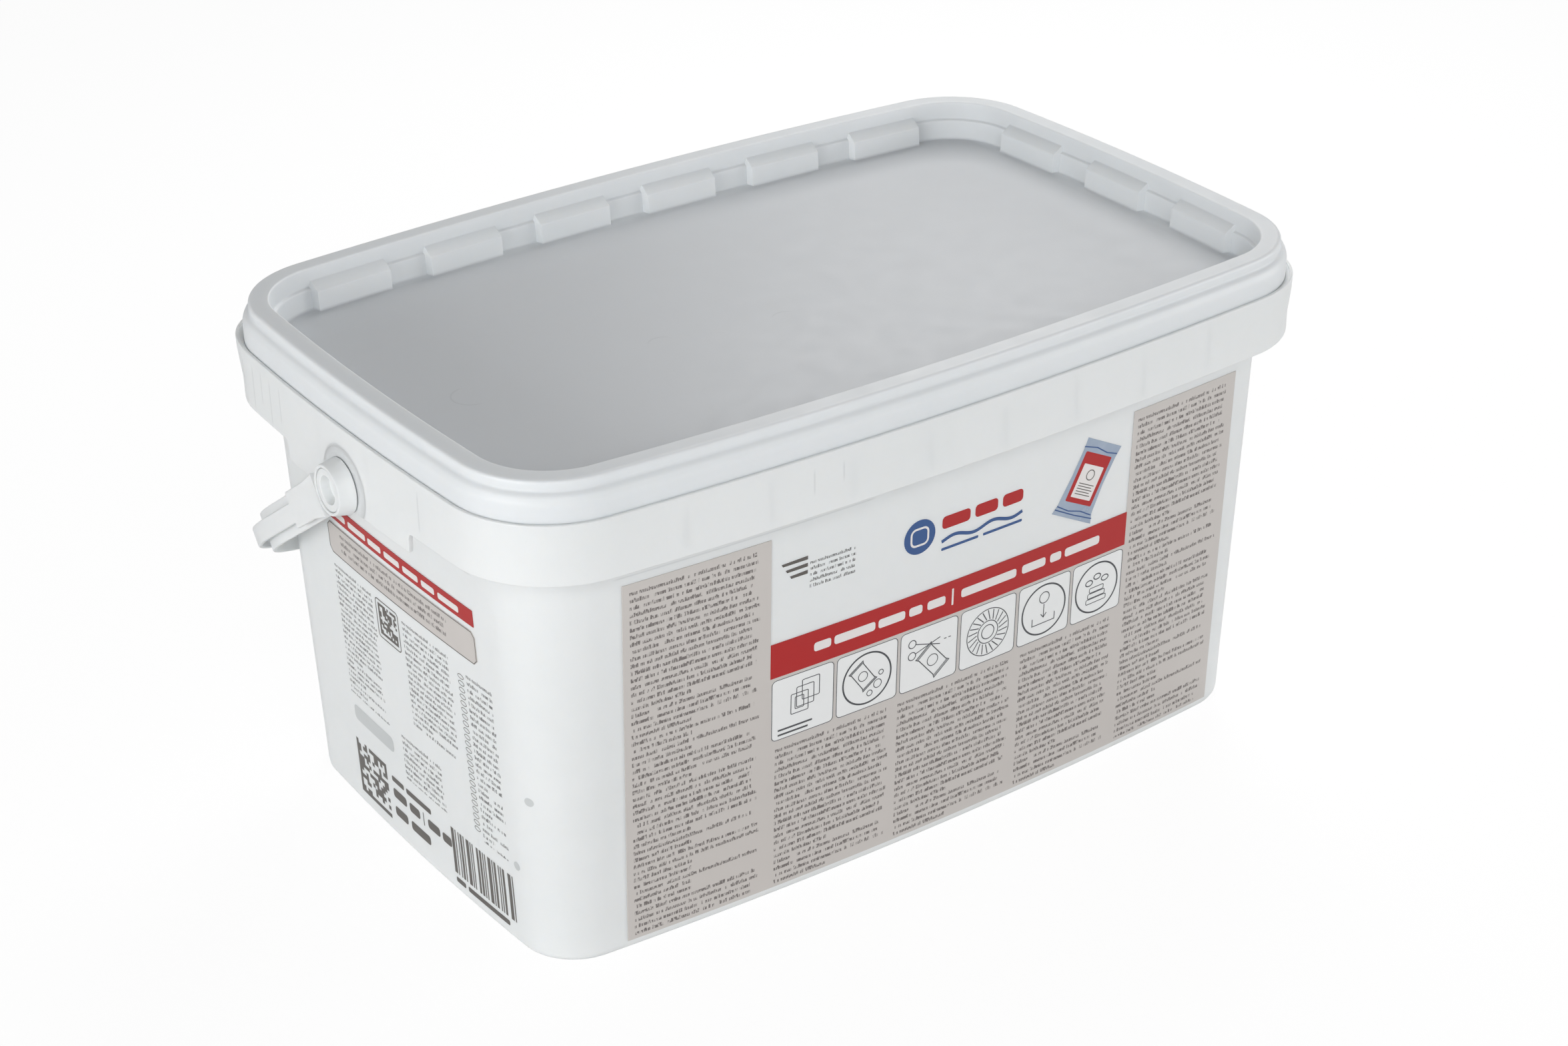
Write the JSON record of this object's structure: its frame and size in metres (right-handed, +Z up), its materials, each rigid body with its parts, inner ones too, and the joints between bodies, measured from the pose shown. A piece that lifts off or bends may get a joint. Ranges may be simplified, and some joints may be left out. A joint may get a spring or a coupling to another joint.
{
  "type": "oven cleaning tablet tub",
  "caption": "Rectangular white plastic tub with bowed sides, a ribbed collar, a press-on lid with stacking lugs and a swinging bail handle, filled with wrapped cleaning tablets.",
  "frame": {"origin": "middle of the foot, on the surface that the tub stands on", "axes": "+Z up; -Y is the front, with the large label; +X is to the right as seen from the front, and the handle's pivots lie along X"},
  "size_m": [0.4144, 0.2542, 0.218],
  "materials": {
    "tub_plastic": "white moulded polypropylene, satin",
    "lid_plastic": "white moulded polypropylene, satin, fine matt panel",
    "handle_plastic": "white moulded polypropylene, satin",
    "label_grey": "printed warm grey film, satin",
    "label_red": "printed red film, satin",
    "label_white": "printed white film, satin",
    "wrap_film": "clear and white flow-wrap film, glossy"
  },
  "bodies": {
    "tub": {"tub": "tub_plastic", "front_label_grey": "label_grey", "front_label_red": "label_red", "front_label_tiles": "label_white", "end_label_red": "label_red", "end_label_grey": "label_grey", "wrapped_tablets": "wrap_film"},
    "lid": {"lid": "lid_plastic"},
    "handle": {"handle": "handle_plastic"}
  },
  "joints": [
    {"name": "handle_swing", "type": "hinge", "parent": "tub", "child": "handle", "pos_m": [0, 0, 0.1783], "axis": [1, 0, 0], "range_deg": [0, 248]},
    {"name": "lid_lift", "type": "slide", "parent": "tub", "child": "lid", "axis": [0, 0, 1], "range_m": [0, 0.06]}
  ]
}
